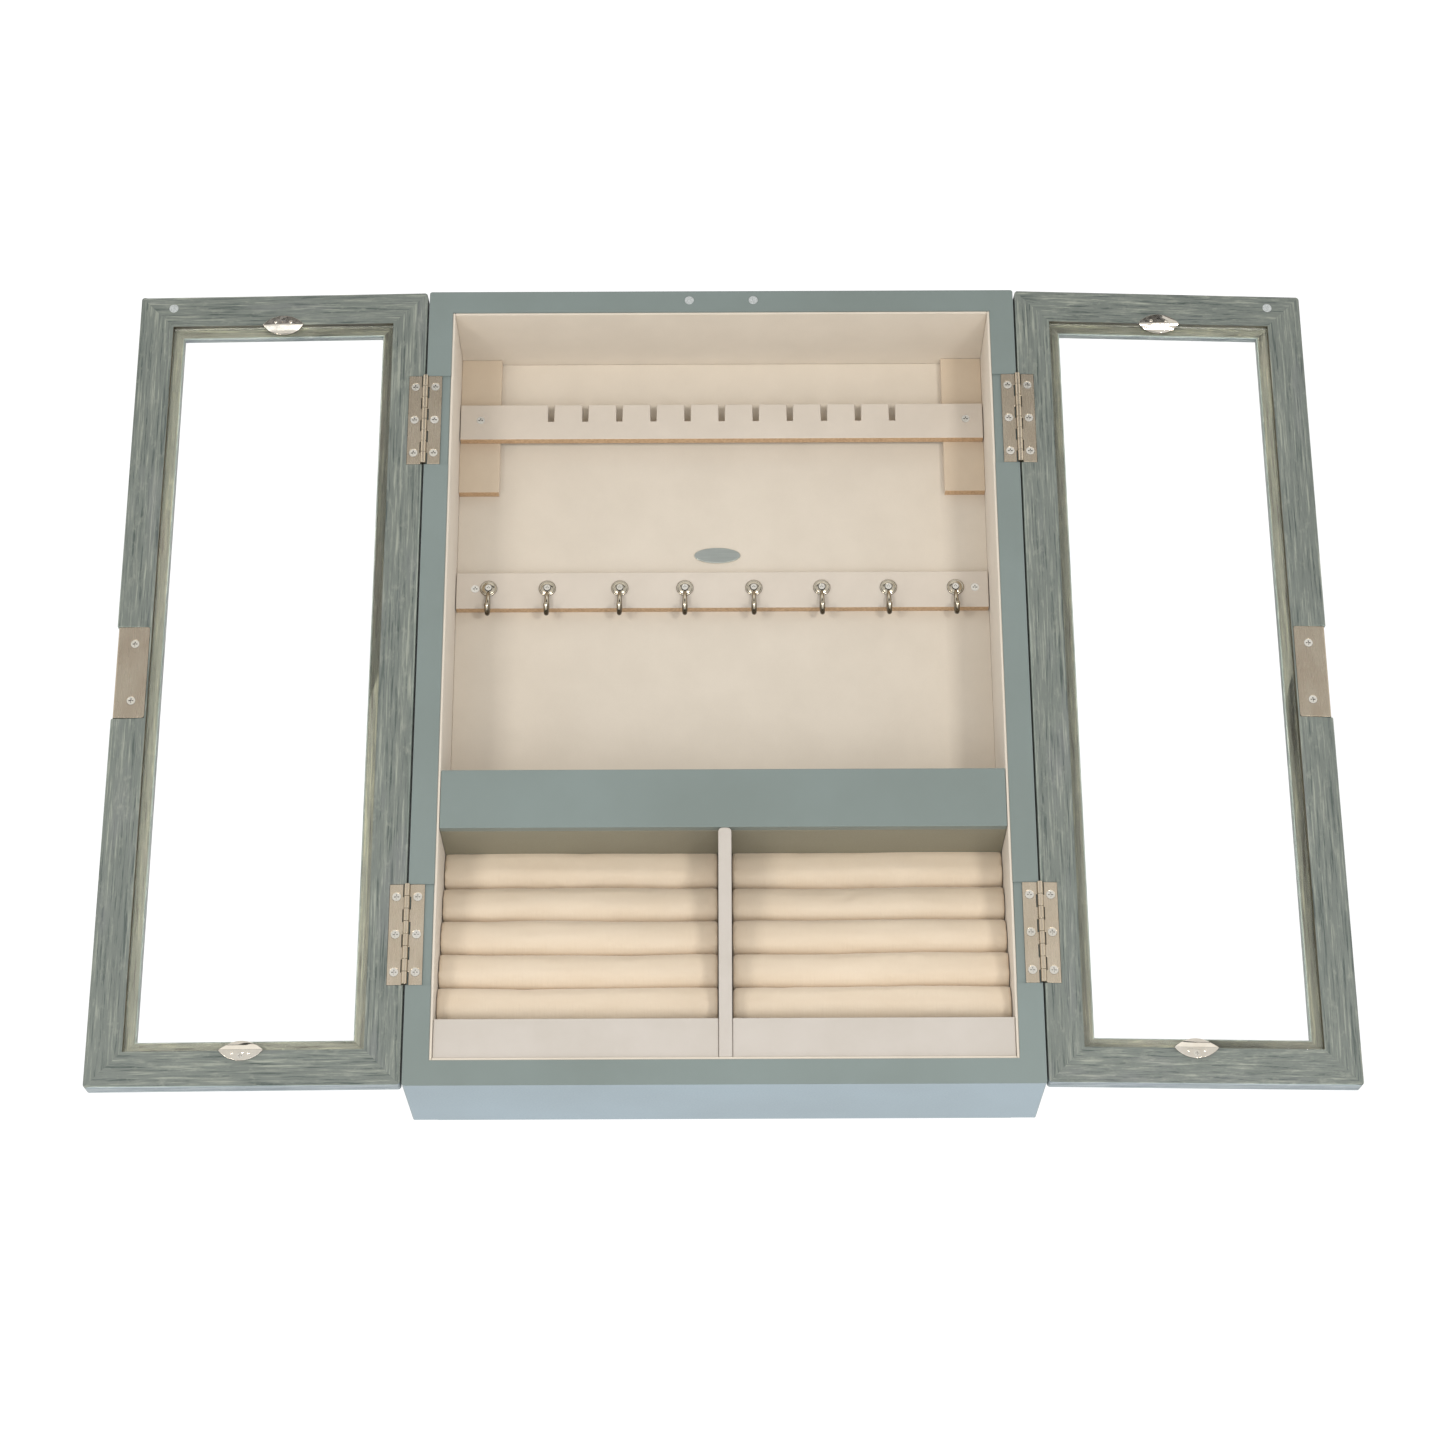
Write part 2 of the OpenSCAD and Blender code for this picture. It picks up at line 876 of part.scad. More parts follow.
// A pointed oval plate, stepped down from the frame to the glass, one end on each
module clip() {
    lens_r = (pow(clip_w / 2, 2) + pow(clip_h / 2, 2)) / clip_h;
    low = rebate_depth - glass_t;
    bend = clip_bend_edge;
    tip = clip_edge + clip_h;
    difference() {
        intersection() {
            translate([-clip_w / 2, 0, 0])
                rotate([90, 0, 90])
                    linear_extrude(clip_w)
                        polygon([
                            [-clip_t, clip_edge], [-clip_t, bend + 0.3],
                            [low - clip_t, bend + clip_step_w + 0.3], [low - clip_t, tip],
                            [low, tip], [low, bend + clip_step_w], [0, bend], [0, clip_edge]
                        ]);
            translate([0, 0, clip_edge + clip_h / 2])
                upright(-clip_t - cut, low + clip_t + 2 * cut)
                    intersection_for(end = sides)
                        translate([0, end * (lens_r - clip_h / 2)])
                            circle(lens_r, $fn = 96);
        }
        clip_screw_hole();
        translate([0, -clip_t, clip_screw_edge])
            rotate([-90, 0, 0])
                cylinder(h = clip_t, r1 = clip_screw_r + snug, r2 = hook_screw_shank_r + snug);
    }
    for (end = sides)
        translate([end * clip_dimple_x, -clip_t - 0.25, clip_dimple_edge])
            rotate([-90, 0, 0])
                cylinder(h = 0.5, r1 = clip_dimple_r / 2, r2 = clip_dimple_r);
}

module door_clips(side) {
    color(nickel)
        place_door(side)
            at_clips(side)
                clip();
}

// One plate bent over the door's edge: a leg with two screws on the inner face, a leg on the
// edge that stands out past the outer face, and a lip turned back towards the hinges.
module door_pull(side) {
    outer = door_w - pull_inset;
    reach = door_t + pull_reach;
    color(nickel)
        place_door(side)
            difference() {
                union() {
                    translate([door_w - pull_leg, 0, (door_h - pull_h) / 2])
                        upright(0, pull_t) {
                            rounded_rect(pull_leg - pull_inset - pull_t, pull_h, pull_corner_r);
                            translate([pull_leg / 2, 0])
                                square([pull_leg / 2 - pull_inset - pull_t, pull_h]);
                        }
                    translate([0, 0, (door_h - pull_h) / 2])
                        linear_extrude(pull_h)
                            difference() {
                                union() {
                                    translate([outer - pull_t, pull_t])
                                        intersection() {
                                            circle(pull_t);
                                            translate([0, -pull_t])
                                                square(pull_t);
                                        }
                                    translate([outer - pull_t, pull_t])
                                        square([pull_t, reach - 3 * pull_t]);
                                    translate([outer - 2 * pull_t, reach - 2 * pull_t])
                                        circle(2 * pull_t);
                                    translate([outer - pull_lip, reach - pull_t])
                                        square([pull_lip - 2 * pull_t, pull_t]);
                                }
                                translate([outer - 2 * pull_t, reach - 2 * pull_t])
                                    circle(pull_t);
                                translate([outer - 5 * pull_t, reach - 5 * pull_t])
                                    square([4 * pull_t, 3 * pull_t]);
                                translate([outer - 5 * pull_t, reach - 5 * pull_t])
                                    square([3 * pull_t, 4 * pull_t]);
                            }
                }
                at_pull_screws()
                    screw_hole(pull_t + cut);
            }
}

module door_magnet(side) {
    place_door(side)
        translate([half_w - door_magnet_x, 0, cab_h - door_magnet_drop - door_z0])
            magnet();
}

module door_hinge_leaves(side) {
    past = side < 0 ? left_past : right_past;
    color(nickel)
        at_hinges(side)
            rotate([0, 0, side * past])
                hinge_leaf(side, door_knuckle);
}

module clip_screw() {
    translate([0, -clip_t, clip_screw_edge])
        rotate([-90, 0, 0])
            difference() {
                union() {
                    cylinder(h = clip_t, r1 = clip_screw_r, r2 = hook_screw_shank_r);
                    cylinder(h = door_screw_l, r = hook_screw_shank_r);
                }
                for (turn = [0, 90])
                    rotate([0, 0, turn])
                        translate([-1, -0.25, -cut])
                            cube([2, 0.5, cut + 0.6]);
            }
}

module door_screws(side) {
    color(bright)
        place_door(side) {
            at_door_hinge_screws()
                screw(door_screw_l);
            at_pull_screws()
                screw(door_screw_l);
            at_clips(side)
                clip_screw();
        }
}

side_board(LEFT);  // left_side_board
side_board(RIGHT);  // right_side_board
top_board();
bottom_board();
back_panel();
lining_side(LEFT);  // lining_left
lining_side(RIGHT);  // lining_right
lining_end(room_z1);  // lining_top
lining_end(board_t);  // lining_bottom
lining_back();
spacer(LEFT);  // spacer_left
spacer(RIGHT);  // spacer_right
necklace_rail();
hook_rail();
plaque();
hooks(LEFT);  // hooks_left
hooks(RIGHT);  // hooks_right
hook_screws();
cabinet_screws();
hanger_plates();
shelf_front();
shelf_floor();
divider();
ring_support(LEFT);  // ring_support_left
ring_support(RIGHT);  // ring_support_right
toe_board(LEFT);  // toe_board_left
toe_board(RIGHT);  // toe_board_right
ring_roll(LEFT, 0);  // ring_roll_left_1
ring_roll(LEFT, 1);  // ring_roll_left_2
ring_roll(LEFT, 2);  // ring_roll_left_3
ring_roll(LEFT, 3);  // ring_roll_left_4
ring_roll(LEFT, 4);  // ring_roll_left_5
ring_roll(RIGHT, 0);  // ring_roll_right_1
ring_roll(RIGHT, 1);  // ring_roll_right_2
ring_roll(RIGHT, 2);  // ring_roll_right_3
ring_roll(RIGHT, 3);  // ring_roll_right_4
ring_roll(RIGHT, 4);  // ring_roll_right_5
magnets_cabinet();
hinge_leaves_cabinet();
hinge_pins();
hinge_stile(LEFT);  // left_door_hinge_stile
meeting_stile(LEFT);  // left_door_meeting_stile
door_rail(LEFT, true);  // left_door_top_rail
door_rail(LEFT, false);  // left_door_bottom_rail
door_glass(LEFT);  // left_door_glass
door_clips(LEFT);  // left_door_clips
door_pull(LEFT);  // left_door_pull
door_magnet(LEFT);  // left_door_magnet
door_hinge_leaves(LEFT);  // left_door_hinge_leaves
door_screws(LEFT);  // left_door_screws
hinge_stile(RIGHT);  // right_door_hinge_stile
meeting_stile(RIGHT);  // right_door_meeting_stile
door_rail(RIGHT, true);  // right_door_top_rail
door_rail(RIGHT, false);  // right_door_bottom_rail
door_glass(RIGHT);  // right_door_glass
door_clips(RIGHT);  // right_door_clips
door_pull(RIGHT);  // right_door_pull
door_magnet(RIGHT);  // right_door_magnet
door_hinge_leaves(RIGHT);  // right_door_hinge_leaves
door_screws(RIGHT);  // right_door_screws
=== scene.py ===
"""Looks of the jewelry armoire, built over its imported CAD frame.

Metres, +Z up, the front faces -Y. The painted boards, lined rails and door members are redrawn
with rounded arrises, the ring rolls are inflated as cloth, and the hooks are drawn as cast
metal. Every other CAD node keeps its shape and gets a material and, mostly, softened edges.
"""

import math

import bmesh
import bpy
from mathutils import Matrix, Vector, noise


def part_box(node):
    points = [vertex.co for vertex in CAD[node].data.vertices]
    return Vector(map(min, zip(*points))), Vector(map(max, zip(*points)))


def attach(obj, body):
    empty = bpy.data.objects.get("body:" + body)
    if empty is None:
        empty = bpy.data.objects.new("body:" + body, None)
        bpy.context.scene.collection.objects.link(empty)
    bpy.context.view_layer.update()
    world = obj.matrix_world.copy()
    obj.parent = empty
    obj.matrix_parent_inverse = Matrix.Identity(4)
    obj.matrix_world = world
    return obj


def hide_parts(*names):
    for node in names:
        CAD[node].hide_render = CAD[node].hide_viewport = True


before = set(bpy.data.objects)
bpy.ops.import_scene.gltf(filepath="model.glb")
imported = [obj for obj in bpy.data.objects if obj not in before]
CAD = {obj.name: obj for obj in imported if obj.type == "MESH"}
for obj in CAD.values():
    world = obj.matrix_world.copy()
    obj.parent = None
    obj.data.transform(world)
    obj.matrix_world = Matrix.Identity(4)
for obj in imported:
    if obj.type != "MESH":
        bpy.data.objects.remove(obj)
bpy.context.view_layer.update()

MM = 0.001
SIDES = ("left", "right")

# ---- Camera and studio (places in metres, angles in degrees, lens and sensor in mm) ----
CAMERA_PLACE = Vector((-0.0010, -1.7407, -0.4959))
CAMERA_TILT = 22.659
CAMERA_TURN = 0.025
CAMERA_ROLL = -0.229
CAMERA_LENS = 79.8
SENSOR = 36.0
FLOOR_Z = -1.1
FLOOR_SIZE = 14.0
FLOOR_GREY = 0.8
WORLD_STRENGTH = 1.08
STUDIO_AIM = (0, 0, 0.25)

# ---- Arris radii ----
BOARD_ARRIS = 0.5 * MM
DOOR_ARRIS = 0.8 * MM
LINING_ARRIS = 0.55 * MM
RAIL_ARRIS = 0.6 * MM
METAL_ARRIS = 0.15 * MM
PLAQUE_ARRIS = 0.25 * MM

# ---- Which edges are rounded ----
ARRIS_ANGLE = math.radians(40)  # two faces that turn by more than this meet in an arris
FLAT_ANGLE = math.radians(0.5)  # faces that turn by less than this are merged
ARRIS_SEGMENTS = 3
SHORTEST_ARRIS = 4 * MM
SEAT_WALL = 1.6 * MM  # the walls of a hinge's or a pull's seat are lower than this
MITRE_AREA = 20 * MM**2
WELD = 0.002 * MM
SAME_PLACE = 0.01 * MM

# ---- Ring rolls ----
ROLL_STATIONS = 64
ROLL_SIDES = 48
ROLL_COUNT = 5
ROLL_START = 0.5 * MM  # a roll is this much thinner before it is inflated
ROLL_SHOULDER = 1.0 * MM
ROLL_SQUARENESS = 3.0  # 2 is a round section; above it the rolls press flat on each other
ROLL_SAG = 0.7 * MM
ROLL_LEAN = 0.8 * MM
ROLL_DENT = 0.03  # the deepest dent, as a share of the radius
SAG_WAVES = 14  # noise features per metre along a roll
LEAN_WAVES = 20
DENT_WAVES = 90
# How much further up the top roll of each row swells. It then runs into the shelf's floor and
# the back lining, which hide that part.
ROLL_CROWN = 4.4 * MM
ROLL_VOXEL = 2.4 * MM
ROLL_FRAMES = 20
ROLL_PRESSURE = 4.0
ROLL_GROWTH = 0.03  # how much the cloth of a roll stretches
ROLL_CAP = 0.8 * MM  # how far inflating may move a point
ROLL_CLEAR = 0.04 * MM

# ---- A door member's materials, in the order of DOOR_COATS ----
FACE, LEDGE, ARRIS, REBATE = range(4)


# ---- Material building ----
def srgb(code):
    """A linear colour from six hex digits."""
    values = [int(code[i : i + 2], 16) / 255 for i in (0, 2, 4)]
    linear = [v / 12.92 if v < 0.04045 else ((v + 0.055) / 1.055) ** 2.4 for v in values]
    return (*linear, 1.0)


class Finish:
    """One Principled material and the nodes that feed it, laid out in object space."""

    def __init__(self, name, **constants):
        self.material = bpy.data.materials.new(name)
        self.material.use_nodes = True
        self.tree = self.material.node_tree
        self.shader = self.tree.nodes["Principled BSDF"]
        self.coordinates = self.add("TexCoord").outputs
        for socket, value in constants.items():
            self.shader.inputs[socket.replace("_", " ")].default_value = value

    def add(self, kind, inputs=None, **settings):
        node = self.tree.nodes.new("ShaderNode" + kind)
        for key, value in settings.items():
            setattr(node, key, value)
        for socket, value in (inputs or {}).items():
            self.feed(node.inputs[socket], value)
        return node

    def feed(self, socket, value):
        if isinstance(value, bpy.types.NodeSocket):
            self.tree.links.new(value, socket)
        else:
            socket.default_value = value

    def noise(self, stretch, detail=3.0, roughness=0.55):
        """Noise with this many features per metre along X, Y and Z."""
        place = self.add(
            "VectorMath", {0: self.coordinates["Object"], 1: stretch}, operation="MULTIPLY"
        )
        pattern = self.add(
            "TexNoise",
            {
                "Vector": place.outputs["Vector"],
                "Scale": 1.0,
                "Detail": detail,
                "Roughness": roughness,
            },
        )
        return pattern.outputs["Factor" if "Factor" in pattern.outputs else "Fac"]

    def ramp(self, factor, *stops):
        """A value or colour that follows factor through (position, colour or grey) stops."""
        node = self.add("ValToRGB", {"Fac": factor})
        elements = node.color_ramp.elements
        while len(elements) < len(stops):
            elements.new(0.5)
        for element, (position, value) in zip(elements, stops):
            element.position = position
            element.color = value if isinstance(value, tuple) else (value, value, value, 1.0)
        return node.outputs["Color"]

    def mix(self, factor, a, b, blend="MIX"):
        node = self.add("Mix", {0: factor, 6: a, 7: b}, data_type="RGBA", blend_type=blend)
        return node.outputs[2]

    def maths(self, operation, a, b=0.0):
        return self.add("Math", {0: a, 1: b}, operation=operation).outputs[0]

    def facing(self, edge, flat):
        """Grows from 0 on faces turned sideways, under edge, to 1 on faces turned to the front
        or back, over flat."""
        y = self.add("SeparateXYZ", {"Vector": self.coordinates["Normal"]}).outputs["Y"]
        return self.ramp(self.maths("ABSOLUTE", y), (edge, 0.0), (flat, 1.0))

    def set(self, socket, value):
        self.feed(self.shader.inputs[socket], value)

    def bump(self, *layers):
        """Bumps laid over each other, each (height, depth in metres)."""
        normal = None
        for height, depth in layers:
            node = self.add("Bump", {"Height": height, "Distance": depth, "Strength": 1.0})
            if normal is not None:
                self.feed(node.inputs["Normal"], normal)
            normal = node.outputs["Normal"]
        self.set("Normal", normal)


# ---- Materials ----
def cabinet_paint(name, low, high):
    """Smooth satin paint that drifts between two tones."""
    f = Finish(name, Coat_Weight=0.12, Coat_Roughness=0.35)
    cloud = f.noise((9, 9, 9), 4)
    roller = f.noise((900, 900, 900), 2)
    f.set("Base Color", f.ramp(cloud, (0.35, srgb(low)), (0.65, srgb(high))))
    f.set("Roughness", f.ramp(roller, (0.3, 0.42), (0.7, 0.52)))
    f.bump((roller, 0.02 * MM))
    return f.material


def door_paint(name, grain, face, light, dark, patch):
    """Brushed paint over wood whose grain runs along one axis."""
    f = Finish(name, Coat_Weight=0.1, Coat_Roughness=0.35)

    def along(fine, coarse):
        return tuple(coarse if axis == grain else fine for axis in "XYZ")

    broad = f.noise(along(60, 12), 4)
    fibre = f.noise(along(760, 26), 5, 0.7)
    rubbed = f.noise(along(240, 110), 4, 0.7)
    scratch = f.noise(along(1300, 60), 3, 0.6)
    colour = f.ramp(fibre, (0.36, dark), (0.46, face), (0.54, face), (0.65, light))
    colour = f.mix(f.ramp(broad, (0.54, 0.0), (0.75, 0.4)), colour, patch)
    colour = f.mix(f.ramp(rubbed, (0.56, 0.0), (0.72, 0.5)), colour, light)
    colour = f.mix(f.ramp(scratch, (0.6, 0.0), (0.7, 0.55)), colour, light)
    shade = f.ramp(broad, (0.3, 0.92), (0.7, 1.05))
    f.set("Base Color", f.mix(1.0, colour, shade, "MULTIPLY"))
    f.set("Roughness", f.ramp(scratch, (0.3, 0.4), (0.7, 0.58)))
    f.bump((fibre, 0.16 * MM), (scratch, 0.07 * MM))
    return f.material


def lining(name, low, high, bare_below):
    """Cream suede paper. bare_below leaves the underside as bare board."""
    f = Finish(name, Sheen_Weight=0.2, Sheen_Roughness=0.5, Roughness=0.88)
    cloud = f.noise((35, 35, 35), 4)
    nap = f.noise((2600, 2600, 2600), 3)
    colour = f.ramp(cloud, (0.35, srgb(low)), (0.65, srgb(high)))
    colour = f.mix(f.ramp(nap, (0.3, 0.0), (0.8, 0.12)), colour, srgb("B8A893"))
    if bare_below:
        z = f.add("SeparateXYZ", {"Vector": f.coordinates["Normal"]}).outputs["Z"]
        below = f.maths("LESS_THAN", z, -0.8)
        fibre = f.noise((900, 900, 2500), 4)
        board = f.ramp(fibre, (0.3, srgb("A9855F")), (0.7, srgb("D0AE86")))
        colour = f.mix(below, colour, board)
    f.set("Base Color", colour)
    f.bump((nap, 0.05 * MM))
    return f.material


def ring_velour():
    f = Finish("ring_velour", Sheen_Weight=0.3, Sheen_Roughness=0.4, Roughness=0.9)
    cloud = f.noise((28, 90, 90), 4)
    nap = f.noise((2200, 3200, 3200), 3)
    wrinkle = f.noise((420, 60, 60), 4, 0.6)
    colour = f.ramp(cloud, (0.35, srgb("DCCAB2")), (0.65, srgb("E0CFB8")))
    colour = f.mix(f.ramp(nap, (0.3, 0.0), (0.8, 0.12)), colour, srgb("C4AC8E"))
    f.set("Base Color", colour)
    f.bump((wrinkle, 0.25 * MM), (nap, 0.06 * MM))
    return f.material


def metal(name, low, high, side_shade, polish, edge=0.3, flat=0.8, grain=(1500, 1500, 60)):
    """Plated metal that is brushed along its grain, with painted shade where it turns sideways.
    polish is its least and greatest roughness."""
    f = Finish(name, Metallic=1.0)
    brushed = f.noise(grain, 3)
    cloud = f.noise((90, 90, 50), 3)
    colour = f.ramp(cloud, (0.35, srgb(low)), (0.65, srgb(high)))
    # Painted shade: faces turned sideways take the darker colour, standing in for shade on rims,
    # barrels and recesses
    f.set("Base Color", f.mix(f.facing(edge, flat), srgb(side_shade), colour))
    f.set("Roughness", f.ramp(brushed, (0.3, polish[0]), (0.7, polish[1])))
    f.bump((brushed, 0.005 * MM))
    return f.material


def magnet_metal():
    f = Finish("magnet_metal", Metallic=0.6)
    speck = f.noise((1600, 1600, 1600), 3, 0.7)
    f.set("Base Color", f.ramp(speck, (0.4, srgb("A9AEAC")), (0.6, srgb("DDE0DE"))))
    f.set("Roughness", f.ramp(speck, (0.3, 0.4), (0.7, 0.6)))
    f.bump((speck, 0.05 * MM))
    return f.material


def plaque_metal():
    f = Finish("plaque_metal", Metallic=1.0)
    brushed = f.noise((50, 1200, 1200), 3)
    f.set("Base Color", f.ramp(brushed, (0.3, srgb("B4BAB3")), (0.7, srgb("BFC4BE"))))
    f.set("Roughness", f.ramp(brushed, (0.3, 0.3), (0.7, 0.42)))
    f.bump((brushed, 0.004 * MM))
    return f.material


def hardboard():
    f = Finish("hardboard", Roughness=0.8)
    fibre = f.noise((700, 700, 700), 6, 0.7)
    cloud = f.noise((14, 14, 14), 3)
    colour = f.ramp(fibre, (0.3, srgb("A07C55")), (0.7, srgb("C5A077")))
    colour = f.mix(1.0, colour, f.ramp(cloud, (0.3, 0.9), (0.7, 1.05)), "MULTIPLY")
    f.set("Base Color", colour)
    f.bump((fibre, 0.08 * MM))
    return f.material


def clear_glass():
    """Clear picture glass that lets the lamps' light through. Its refractive index is below
    real glass's, so that the lamps' reflections hide little of a shut door."""
    f = Finish("clear_glass", Transmission_Weight=1.0, IOR=1.18, Roughness=0.0)
    f.shader.inputs["Base Color"].default_value = (1.0, 1.0, 1.0, 1.0)
    wave = f.noise((7, 7, 7), 1)
    f.bump((wave, 0.02 * MM))
    path = f.add("LightPath")
    clear = f.add("BsdfTransparent")
    both = f.add(
        "MixShader",
        {0: path.outputs["Is Shadow Ray"], 1: f.shader.outputs[0], 2: clear.outputs[0]},
    )
    f.tree.links.new(both.outputs[0], f.tree.nodes["Material Output"].inputs["Surface"])
    return f.material


def matt(name, grey):
    """Plain matt grey for the studio's floor and cards."""
    f = Finish(name, Roughness=1.0)
    cloud = f.noise((1.5, 1.5, 1.5), 2)
    f.set("Base Color", f.ramp(cloud, (0.3, grey), (0.7, grey * 1.03)))
    return f.material


PAINT = cabinet_paint("cabinet_paint", "76807B", "7C8783")
# The shelf's floor has the cabinet's own paint; this warmer, olive copy is painted light, the
# warm bounce from the cream rolls below it
SHELF_BOUNCE_PAINT = cabinet_paint("shelf_bounce_paint", "817E6E", "898776")
LINING = lining("lining_suede", "D5CABA", "D9CEBE", False)
TOE_LINING = lining("toe_suede", "C0B8AE", "C5BDB4", False)
LINED_BOARD = lining("lined_board", "D0C5B7", "D5CABC", True)
LINED_BLOCK = lining("lined_block", "CBB9A2", "D0BFA8", True)
VELOUR = ring_velour()
EVEN = (400, 400, 400)  # the grain of a metal that isn't brushed
# The fourth colour of each metal is painted shade on the faces that turn sideways: hinge barrels'
# sides, hook discs' rims and screw recesses
NICKEL = metal("satin_nickel", "C8B9A2", "D0C2AC", "75695A", (0.2, 0.3))
PULL = metal("pull_nickel", "B7A995", "BFB39F", "75695A", (0.2, 0.3))
CAST = metal("cast_nickel", "BFB5A1", "CBC1AE", "4A4236", (0.14, 0.22), 0.35, 0.95, EVEN)
STAMPED = metal("stamped_clips", "E3DACA", "EDE6D8", "6B5F4D", (0.08, 0.16), 0.3, 0.75, EVEN)
SCREW = metal("screw_metal", "E6E0D2", "F0EBE0", "2E2820", (0.08, 0.16), 0.5, 0.8, EVEN)
MAGNET = magnet_metal()
PLAQUE = plaque_metal()
HARDBOARD = hardboard()
GLASS = clear_glass()
# For each run of the grain: a door member's face, the ledge under its glass, its rounded arrises,
# lighter as painted highlight, and the rebate's walls, dark brown partly as bare wood and partly
# as painted shade
DOOR_COATS = {
    grain: [
        door_paint(
            f"door_face_{grain}", grain,
            srgb("70766F"), srgb("979B8E"), srgb("454F4A"), srgb("78767A"),
        ),
        door_paint(
            f"door_ledge_{grain}", grain,
            srgb("777869"), srgb("98987F"), srgb("545245"), srgb("86756A"),
        ),
        # Painted highlight: the rounded arrises are painted lighter
        door_paint(
            f"door_arris_highlight_{grain}", grain,
            srgb("858E84"), srgb("AEB3A5"), srgb("666F68"), srgb("8C8A84"),
        ),
        # Bare wood and painted shade: the rebate's walls are dark brown, partly their own colour
        # and partly painted shade
        door_paint(
            f"door_rebate_wood_and_shade_{grain}", grain,
            srgb("55513F"), srgb("7B745C"), srgb("37332A"), srgb("5F4F42"),
        ),
    ]
    for grain in "XZ"
}


# ---- Pieces from CAD nodes ----
def paint_with(obj, material):
    obj.data.materials.clear()
    obj.data.materials.append(material)


def soften(obj, radius):
    """Rounds a CAD node's sharp edges by modifiers, which leave its own mesh alone."""
    weld = obj.modifiers.new("weld", "WELD")
    weld.merge_threshold = WELD
    flat = obj.modifiers.new("merge flat faces", "DECIMATE")
    flat.decimate_type = "DISSOLVE"
    flat.angle_limit = FLAT_ANGLE
    bevel = obj.modifiers.new("round", "BEVEL")
    bevel.width = radius
    bevel.segments = ARRIS_SEGMENTS
    bevel.limit_method = "ANGLE"
    bevel.angle_limit = ARRIS_ANGLE
    bevel.use_clamp_overlap = False
    normals = obj.modifiers.new("normals", "WEIGHTED_NORMAL")
    normals.keep_sharp = False


def keep(names, material, radius=0.0):
    """Gives CAD nodes a material and, where radius is set, softened edges."""
    for name in names:
        paint_with(CAD[name], material)
        if radius:
            soften(CAD[name], radius)


def new_piece(name, bm, body, materials, nodes):
    """Turns bm into a smooth-shaded piece that rides on body and stands for CAD nodes."""
    mesh = bpy.data.meshes.new(name)
    bm.to_mesh(mesh)
    bm.free()
    mesh.shade_smooth()
    for material in materials:
        mesh.materials.append(material)
    obj = bpy.data.objects.new(name, mesh)
    bpy.context.scene.collection.objects.link(obj)
    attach(obj, body)
    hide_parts(*nodes)
    return obj


def rounded_copy(name, node, body, materials, radius, stays_sharp, cuts=(), coat=None):
    """A copy of a CAD node with its long arrises rounded, but for those stays_sharp picks.
    cuts are heights at which its edges are split first. coat picks each face's material by
    number, and the rounded arrises then take ARRIS."""
    bm = bmesh.new()
    bm.from_mesh(CAD[node].data)
    bmesh.ops.remove_doubles(bm, verts=bm.verts[:], dist=WELD)
    for z in cuts:
        everything = bm.verts[:] + bm.edges[:] + bm.faces[:]
        bmesh.ops.bisect_plane(bm, geom=everything, plane_co=(0, 0, z), plane_no=(0, 0, 1))
    if not cuts:
        bmesh.ops.dissolve_limit(
            bm, angle_limit=FLAT_ANGLE, verts=bm.verts[:], edges=bm.edges[:]
        )
    for face in bm.faces:
        face.material_index = coat(face) if coat else 0
    arrises = [
        e
        for e in bm.edges
        if is_outer(e) and e.calc_length() > SHORTEST_ARRIS and not stays_sharp(e)
    ]
    # With coat, the rounded arrises take ARRIS, a lighter coat that is painted highlight
    bmesh.ops.bevel(
        bm,
        geom=arrises,
        offset=radius,
        offset_type="OFFSET",
        segments=ARRIS_SEGMENTS,
        profile=0.5,
        affect="EDGES",
        clamp_overlap=False,
        material=ARRIS if coat else -1,
    )
    for edge in bm.edges:
        edge.smooth = not is_arris(edge)
    obj = new_piece(name, bm, body, materials, [node])
    normals = obj.modifiers.new("normals", "WEIGHTED_NORMAL")
    normals.keep_sharp = True
    return obj


def is_arris(edge):
    return edge.is_manifold and edge.calc_face_angle(0) > ARRIS_ANGLE


def is_outer(edge):
    """True for an arris that stands out and doesn't border the low wall of a hinge's or a
    pull's seat."""
    stands_out = is_arris(edge) and edge.calc_face_angle_signed(0) > 0
    return stands_out and not any(
        f.calc_area() < SEAT_WALL * max(e.calc_length() for e in f.edges)
        for f in edge.link_faces
    )


# ---- Cabinet ----
def cabinet_boards():
    """The four painted boards. They meet under one coat of paint, so the edges at their
    joints stay sharp and closed."""
    side_lo, side_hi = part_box("left_side_board")
    joint_x = abs(side_hi.x)
    board = side_hi.x - side_lo.x
    height = side_hi.z
    cuts = (board, height - board)

    def in_joint(edge):
        middle = (edge.verts[0].co + edge.verts[1].co) / 2
        on_plane = all(abs(abs(v.co.x) - joint_x) < SAME_PLACE for v in edge.verts)
        return on_plane and not board < middle.z < height - board

    for side in SIDES:
        rounded_copy(
            f"{side}_side_painted", f"{side}_side_board", "cabinet",
            [PAINT], BOARD_ARRIS, in_joint, cuts,
        )
    for end in ("top", "bottom"):
        rounded_copy(
            f"{end}_painted", f"{end}_board", "cabinet",
            [PAINT], BOARD_ARRIS, in_joint,
        )


# ---- Rails ----
def rails():
    coats = {
        "spacer_left": LINED_BLOCK,
        "spacer_right": LINED_BLOCK,
        "necklace_rail": LINED_BOARD,
        "hook_rail": LINED_BOARD,
    }
    for node, coat in coats.items():
        rounded_copy(
            f"{node}_lined", node, "cabinet", [coat], RAIL_ARRIS, lambda edge: False
        )


